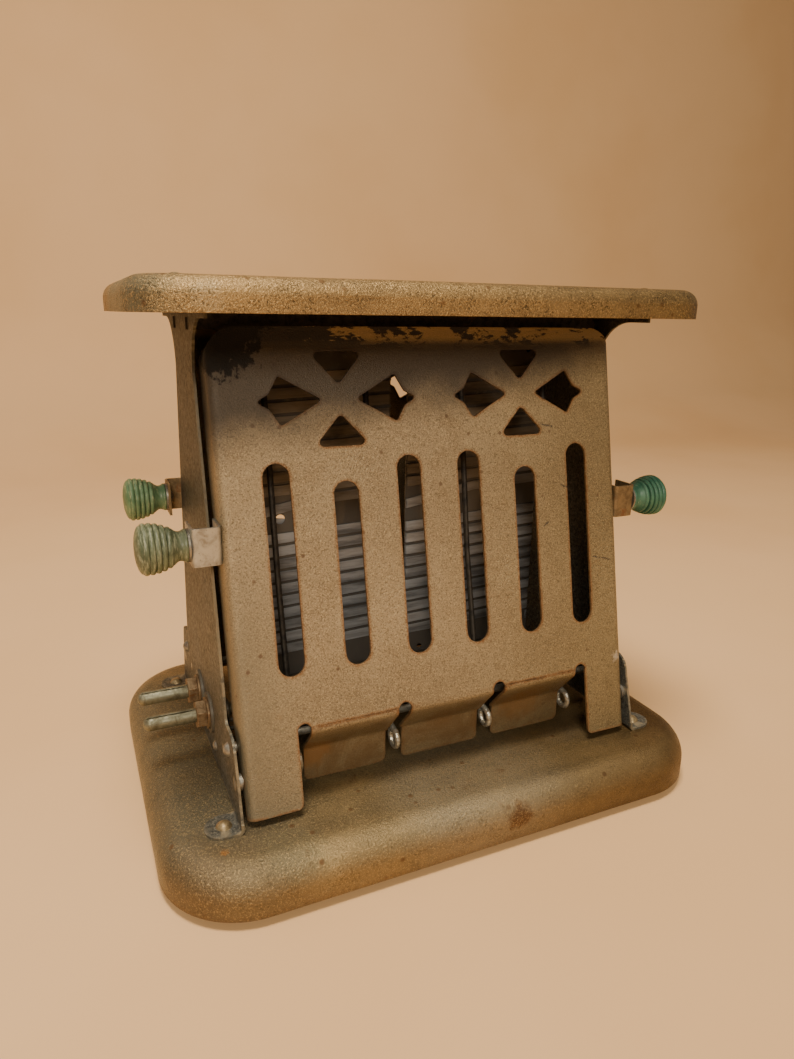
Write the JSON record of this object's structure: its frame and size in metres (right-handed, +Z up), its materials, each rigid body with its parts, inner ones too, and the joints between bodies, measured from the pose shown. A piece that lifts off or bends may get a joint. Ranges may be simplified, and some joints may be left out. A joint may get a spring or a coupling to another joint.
{
  "type": "drop side toaster",
  "caption": "Drop side toaster: pressed base, waisted end frames, slotted hinged doors with turned knobs, mica element, guard wires and terminal pins.",
  "frame": {"origin": "middle of the footprint, on the table under the feet", "axes": "+X along the doors to the right-hand end, the terminal pins point along -X, the front door faces -Y, +Z up"},
  "size_m": [0.19, 0.142, 0.172],
  "materials": {
    "base_enamel": "worn gold-brown enamel with rust",
    "door_enamel": "khaki enamel with fine speckle, rust and soot",
    "frame_enamel": "grey-brown enamel, rubbed at the edges",
    "plate_enamel": "golden-brown enamel, grainy",
    "dark_sheet": "dull dark plated sheet",
    "foot_stuff": "dark pressed foot",
    "bare_steel": "dull bare steel",
    "rusty_steel": "rust-brown steel",
    "nickel": "tarnished nickel",
    "mica": "smoky mica",
    "ribbon": "dark heating ribbon",
    "wire": "plated wire",
    "knob_grey_green": "turned wood, faded green paint",
    "knob_jade": "turned wood, jade green paint",
    "knob_green": "turned wood, green paint"
  },
  "bodies": {
    "chassis": {"base_pan": "base_enamel", "bottom_plate": "dark_sheet", "base_feet": "foot_stuff", "foot_rivets": "bare_steel", "tie_bolts": "bare_steel", "tie_nuts": "bare_steel", "left_end_frame": "frame_enamel", "right_end_frame": "frame_enamel", "frame_rivets": "frame_enamel", "top_plate": "plate_enamel", "plate_rivets": "plate_enamel", "stop_studs": "bare_steel", "upper_rail": "dark_sheet", "lower_rail": "dark_sheet", "left_card": "mica", "right_card": "mica", "left_ribbon": "ribbon", "right_ribbon": "ribbon", "ribbon_rivets": "bare_steel", "ribbon_bridge": "bare_steel", "front_lead": "wire", "rear_lead": "wire", "front_terminal_pin": "nickel", "rear_terminal_pin": "nickel", "terminal_nuts": "rusty_steel", "terminal_washers": "bare_steel", "mica_washers": "mica", "mica_bushes": "mica", "inner_mica_plate": "mica", "inner_nuts": "rusty_steel", "insulator_rivets": "bare_steel", "front_guard_rod": "wire", "rear_guard_rod": "wire", "front_guard_wires": "wire", "rear_guard_wires": "wire", "front_hinge_pins": "bare_steel", "rear_hinge_pins": "bare_steel"},
    "front_door": {"front_door": "door_enamel", "front_left_bracket": "bare_steel", "front_right_bracket": "bare_steel", "front_bracket_rivets": "bare_steel", "front_knob_washers": "bare_steel", "front_knob_screws": "bare_steel", "front_left_knob": "knob_grey_green", "front_right_knob": "knob_jade"},
    "rear_door": {"rear_door": "door_enamel", "rear_left_bracket": "bare_steel", "rear_right_bracket": "bare_steel", "rear_bracket_rivets": "bare_steel", "rear_knob_washers": "bare_steel", "rear_knob_screws": "bare_steel", "rear_left_knob": "knob_green", "rear_right_knob": "knob_green"}
  },
  "joints": [
    {"name": "front_door_hinge", "type": "hinge", "parent": "chassis", "child": "front_door", "pos_m": [0, -0.0456, 0.03], "axis": [1, 0, 0], "range_deg": [0, 111]},
    {"name": "rear_door_hinge", "type": "hinge", "parent": "chassis", "child": "rear_door", "pos_m": [0, 0.0456, 0.03], "axis": [-1, 0, 0], "range_deg": [0, 111]}
  ]
}
